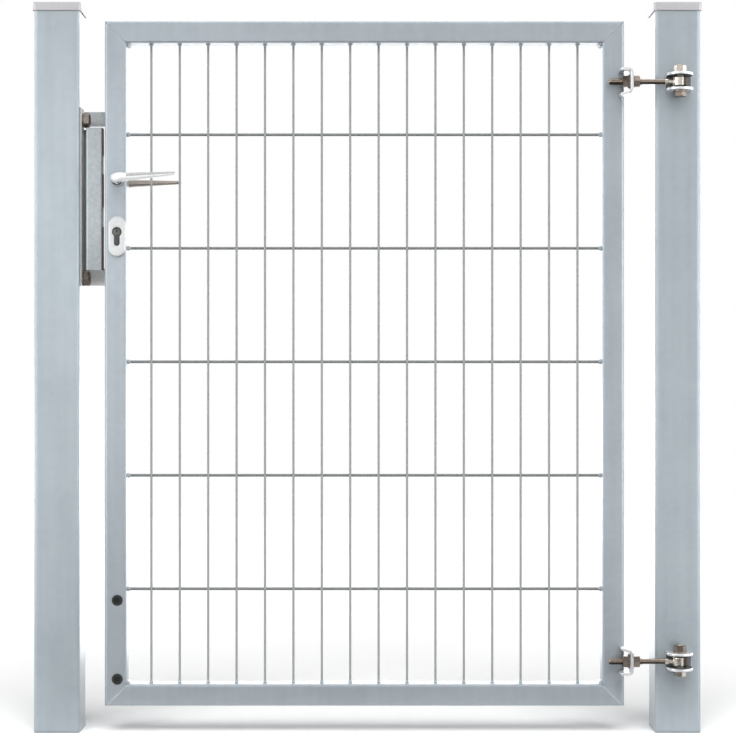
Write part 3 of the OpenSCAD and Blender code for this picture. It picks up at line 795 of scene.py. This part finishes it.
def wire(radius, start, stop, crossings, axis):
    """A round wire along that axis, pressed a little flat where it is welded across others."""
    clear()
    turn = (0, QUARTER, 0) if axis == 0 else (0, 0, 0)
    bpy.ops.mesh.primitive_cylinder_add(vertices=16, radius=radius * MM, depth=(stop - start).length,
                                        location=(start + stop) / 2, rotation=turn)
    piece = bpy.context.object
    bpy.ops.object.transform_apply(location=True, rotation=True)
    normal = (1, 0, 0) if axis == 0 else (0, 0, 1)
    edit()
    for crossing in crossings:
        for side in (-EASED_HALF, -FLAT_HALF, FLAT_HALF, EASED_HALF):
            at = start.copy()
            at[axis] = crossing + side * MM
            slice_all(at, normal)
    near = (FLAT_HALF + 0.1) * MM
    choose(lambda point: any(abs(point.co[axis] - c) < near for c in crossings), "vertices")
    bpy.ops.transform.resize(value=(1, PRESSED, 1), center_override=start)
    leave()
    return piece


def upright_wires():
    """The thin wires, in front."""
    rows = [LEVEL_Z + i * LEVEL_STEP for i in range(LEVELS)]
    piece = wire(UPRIGHT_R, Vector((UPRIGHT_X, UPRIGHT_Y, INNER_Z0)),
                 Vector((UPRIGHT_X, UPRIGHT_Y, INNER_Z1)), rows, 2)
    finish(repeat(piece, UPRIGHTS, ALONG), "upright_wires", LEAF, upright_zinc, ["wire_infill"], 60)


def level_wires():
    """The thicker wires, behind."""
    columns = [UPRIGHT_X + i * UPRIGHT_STEP for i in range(UPRIGHTS)]
    piece = wire(LEVEL_R, Vector((INNER_X0, LEVEL_Y, LEVEL_Z)), Vector((INNER_X1, LEVEL_Y, LEVEL_Z)),
                 columns, 0)
    finish(repeat(piece, LEVELS, UP), "level_wires", LEAF, level_zinc, ["wire_infill"], 60)


def crossing_welds():
    """Resistance welds: a small squeezed lump in the corner of each crossing."""
    clear()
    bpy.ops.mesh.primitive_uv_sphere_add(segments=12, ring_count=8, radius=2.7 * MM,
                                         location=(UPRIGHT_X, (UPRIGHT_Y + LEVEL_Y) / 2, LEVEL_Z),
                                         scale=(1.15, 0.6, 1.0))
    lumps = bpy.context.object
    bpy.ops.object.transform_apply(location=True, scale=True)
    repeat(repeat(lumps, UPRIGHTS, ALONG), LEVELS, UP)
    edit()
    bpy.ops.transform.vertex_random(offset=0.25 * MM, seed=3)
    leave()
    # The welds share the level wires' zinc, painted darker as painted shade
    finish(lumps, "crossing_welds", LEAF, level_zinc, smooth=80)


def weld_drop(radius, at, turn):
    """The drop-shaped weld that holds a wire's end to the tube."""
    drop = turned([(radius + 2.6, -0.6), (radius + 2.2, 0.8), (radius + 1.2, 2.2), (radius + 0.5, 3.8),
                   (radius + 0.1, 5.5)], 14)
    return place(drop, at, turn)


def wire_end_welds():
    """A weld drop on both ends of every wire."""
    below = weld_drop(UPRIGHT_R, (UPRIGHT_X, UPRIGHT_Y, INNER_Z0), (0, 0, 0))
    above = weld_drop(UPRIGHT_R, (UPRIGHT_X, UPRIGHT_Y, INNER_Z1), (HALF, 0, 0))
    ends = repeat(join([below, above]), UPRIGHTS, ALONG)
    left = weld_drop(LEVEL_R, (INNER_X0, LEVEL_Y, LEVEL_Z), (0, QUARTER, 0))
    right = weld_drop(LEVEL_R, (INNER_X1, LEVEL_Y, LEVEL_Z), (0, -QUARTER, 0))
    ends = join([ends, repeat(join([left, right]), LEVELS, UP)])
    edit()
    bpy.ops.transform.vertex_random(offset=0.35 * MM, seed=5)
    leave()
    finish(ends, "wire_end_welds", LEAF, weld_zinc, smooth=80)


upright_wires()
level_wires()
crossing_welds()
wire_end_welds()

# ---------- frame welds ----------

# In millimetres: the length of one ripple of a weld bead and how uneven it is, and how much shorter
# than the mitre and than the tube's depth the beads are
RIPPLE, UNEVEN = 2.0, 0.12
MITRE_SHORT, CORNER_SHORT = 9, 7
# Width and height of the beads
MITRE_BEAD, CORNER_BEAD = (2.0, 0.18), (11, 5.5)


def bead(length, width, height, turn, seed):
    """A half-round weld bead at the origin with its ripples, width by height in millimetres."""
    clear()
    bpy.ops.mesh.primitive_cylinder_add(vertices=12, radius=MM, depth=length * MM, rotation=(0, QUARTER, 0))
    piece = bpy.context.object
    bpy.ops.object.transform_apply(rotation=True)
    edit()
    count = max(2, round(length / RIPPLE))
    for i in range(1, count):
        slice_all(((i / count - 0.5) * length * MM, 0, 0), (1, 0, 0))
    choose(lambda point: abs(abs(point.co.x) - length * MM / 2) < 0.01 * MM, "vertices")
    bpy.ops.transform.resize(value=(1, 0.6, 0.6))
    bpy.ops.mesh.select_all(action="SELECT")
    bpy.ops.transform.vertex_random(offset=UNEVEN * MM, seed=seed)
    bpy.ops.transform.resize(value=(1, width / 2, height), center_override=(0, 0, 0))
    leave()
    return place(piece, (0, 0, 0), turn)


def frame_welds():
    """Low beads along the mitres, front and back, and full ones in the inner corners."""
    mitre_length = TUBE / MM * math.sqrt(2) - MITRE_SHORT
    corner_length = TUBE / MM - CORNER_SHORT
    beads = []
    for i, x in enumerate((LEAF_X0 + TUBE / 2, LEAF_X1 - TUBE / 2)):
        for j, z in enumerate((LEAF_Z0 + TUBE / 2, LEAF_Z1 - TUBE / 2)):
            lean = math.radians(45 if (i + j) % 2 else -45)
            for y in (FRONT_Y, BACK_Y):
                strip = bead(mitre_length, *MITRE_BEAD, (QUARTER, 0, 0), i + 2 * j)
                beads.append(place(strip, (x, y, z), (0, lean, 0)))
    for i, x in enumerate((INNER_X0, INNER_X1)):
        for j, z in enumerate((INNER_Z0, INNER_Z1)):
            strip = bead(corner_length, *CORNER_BEAD, (0, 0, QUARTER), 9 + i + j)
            beads.append(place(strip, (x, MID_Y, z)))
    finish(join(beads), "mitre_welds", LEAF, weld_zinc, smooth=80)


frame_welds()

# ---------- lock ----------

# In millimetres: how far the keyway's first pin lies behind the cylinder's end and under its top
KEY_PIN_IN, KEY_PIN_UNDER = 2.4, 10.6
# The plug's head, its only front face of over 60 square mm, is dished 0.8 deep inside a rim of 2.2
PLUG_DISH, PLUG_FACE = (2.2, -0.8), 60


def cover_and_rose(face):
    """The cylinder's cover and the handle's rose, its face painted dark as painted shade and its rim dull,
    on one face of the leaf.
    """
    softened(f"{face}_cylinder_cover", f"{face}_cover", 0.6, LEAF, cover_metal, 3, 20)
    rose = softened(f"{face}_handle_rose", f"{face}_rose", 1.8, LEAF, rose_metal, 3, 20)
    second_finish(rose, tab_zinc, lambda side: abs(side.normal.y) < 0.97)


def key_cylinder():
    """The profile cylinder, painted dark as painted shade and paler on its ends, and the first pin in the
    lower half of each keyway.
    """
    piece = softened("profile_cylinder", "key_cylinder", 0.3, LEAF, dark_nickel)
    lo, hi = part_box("key_cylinder")
    second_finish(piece, core_nickel, lambda face: abs(face.normal.y) > 0.9
                  and min(face.center.y - lo.y, hi.y - face.center.y) < 0.4 * MM)
    pins = []
    for y in (lo.y + KEY_PIN_IN * MM, hi.y - KEY_PIN_IN * MM):
        pin = turned([(1.15, -1.5), (1.2, -1.3), (1.2, 1.3), (1.15, 1.5)], 20)
        place(pin, (0, 0, 0), (QUARTER, 0, 0))
        pins.append(place(pin, ((lo.x + hi.x) / 2, y, hi.z - KEY_PIN_UNDER * MM)))
    finish(join(pins), "key_pins", LEAF, pin_brass)


def tube_plug(height):
    """A round plug, its middle dished and painted blacker than its rim as painted shade."""
    piece = softened(f"{height}_tube_plug", f"{height}_plug", 0.4, LEAF, black_plastic, 2, 15)
    second_finish(piece, deep_plastic, lambda face: face.normal.y < -0.99
                  and face.area > PLUG_FACE * MM ** 2, PLUG_DISH)


for face in ("front", "back"):
    cover_and_rose(face)
key_cylinder()
for height in ("upper", "lower"):
    tube_plug(height)

# ---------- handle ----------

# In millimetres: how far the grip's middle stands out and how far it reaches, the elbow's radius,
# and the radii of the neck, the hub at the elbow, the grip's start and its tip
OUT, REACH, ELBOW = 38, 106, 9.0
NECK_R, HUB_R, GRIP_R, TIP_R = 6.0, 8.5, 7.4, 3.2
# The neck starts that far off the leaf, and swells to the hub over the last of its length
NECK_GAP, SWELL = 0.5, 8
# From the spindle to where the grip's painted light and shade start, and from the leaf to where the neck's
# painted shade ends
GRIP_FROM, NECK_OUT = 24, 22
SPINDLE = middle("spindle")


def lever(rise):
    """A round neck out along -Y, an elbow, and a grip along +X that thins to a round end and rises by
    that many degrees."""
    clear()
    bpy.ops.mesh.primitive_circle_add(vertices=32, radius=NECK_R * MM, fill_type="NGON",
                                      location=(0, -NECK_GAP * MM, 0), rotation=(QUARTER, 0, 0))
    bpy.ops.object.transform_apply(location=True, rotation=True)
    edit("FACE")
    extrude(0, ELBOW + SWELL + NECK_GAP - OUT, 0)
    for wider in (1.2, 1.1, HUB_R / NECK_R / (1.2 * 1.1)):
        extrude(0, -SWELL / 3, 0)
        bpy.ops.transform.resize(value=(wider, 1, wider))
    bpy.ops.mesh.spin(steps=10, angle=-QUARTER, center=(ELBOW * MM, (ELBOW - OUT) * MM, 0), axis=(0, 0, 1))
    end = REACH - TIP_R
    rings = [(ELBOW + (end - ELBOW) * i / 8, GRIP_R + (TIP_R - GRIP_R) * i / 8) for i in range(1, 9)]
    rings += [(end + TIP_R * math.sin(a), TIP_R * math.cos(a)) for a in (0.45, 0.85, 1.15, 1.4)]
    x, radius = ELBOW, HUB_R
    for far, wide in rings:
        extrude(far - x, 0, 0)
        bpy.ops.transform.resize(value=(1, wide / radius, wide / radius))
        x, radius = far, wide
    mend(0.01)
    return place(bpy.context.object, (0, 0, 0), (0, math.radians(-rise), 0))


def front_lever():
    """The lever on the front: neck painted dark as painted shade, pale hub, and a grip painted dull on top
    as painted shade and pale below as painted light.
    """
    piece = place(lever(4), (SPINDLE.x, FRONT_Y, SPINDLE.z))
    finish(piece, "front_lever_handle", HANDLE, anodised, ["front_lever"], 45)
    neck_y, grip_x = FRONT_Y - NECK_OUT * MM, SPINDLE.x + GRIP_FROM * MM
    second_finish(piece, rose_metal, lambda face: face.center.y > neck_y)
    second_finish(piece, grip_top, lambda face: face.center.x > grip_x and face.normal.z > 0.1)
    second_finish(piece, grip_under, lambda face: face.center.x > grip_x and face.normal.z < -0.2)


def back_lever():
    """The same lever mirrored on the back, which hangs 3 degrees lower, painted darker as painted shade and
    warmer.
    """
    piece = pick(lever(1))
    piece.scale = (1, -1, 1)
    bpy.ops.object.transform_apply(scale=True)
    place(piece, (SPINDLE.x, BACK_Y, SPINDLE.z))
    finish(piece, "back_lever_handle", HANDLE, shaded_back_lever_metal, ["back_lever"], 45)


front_lever()
back_lever()
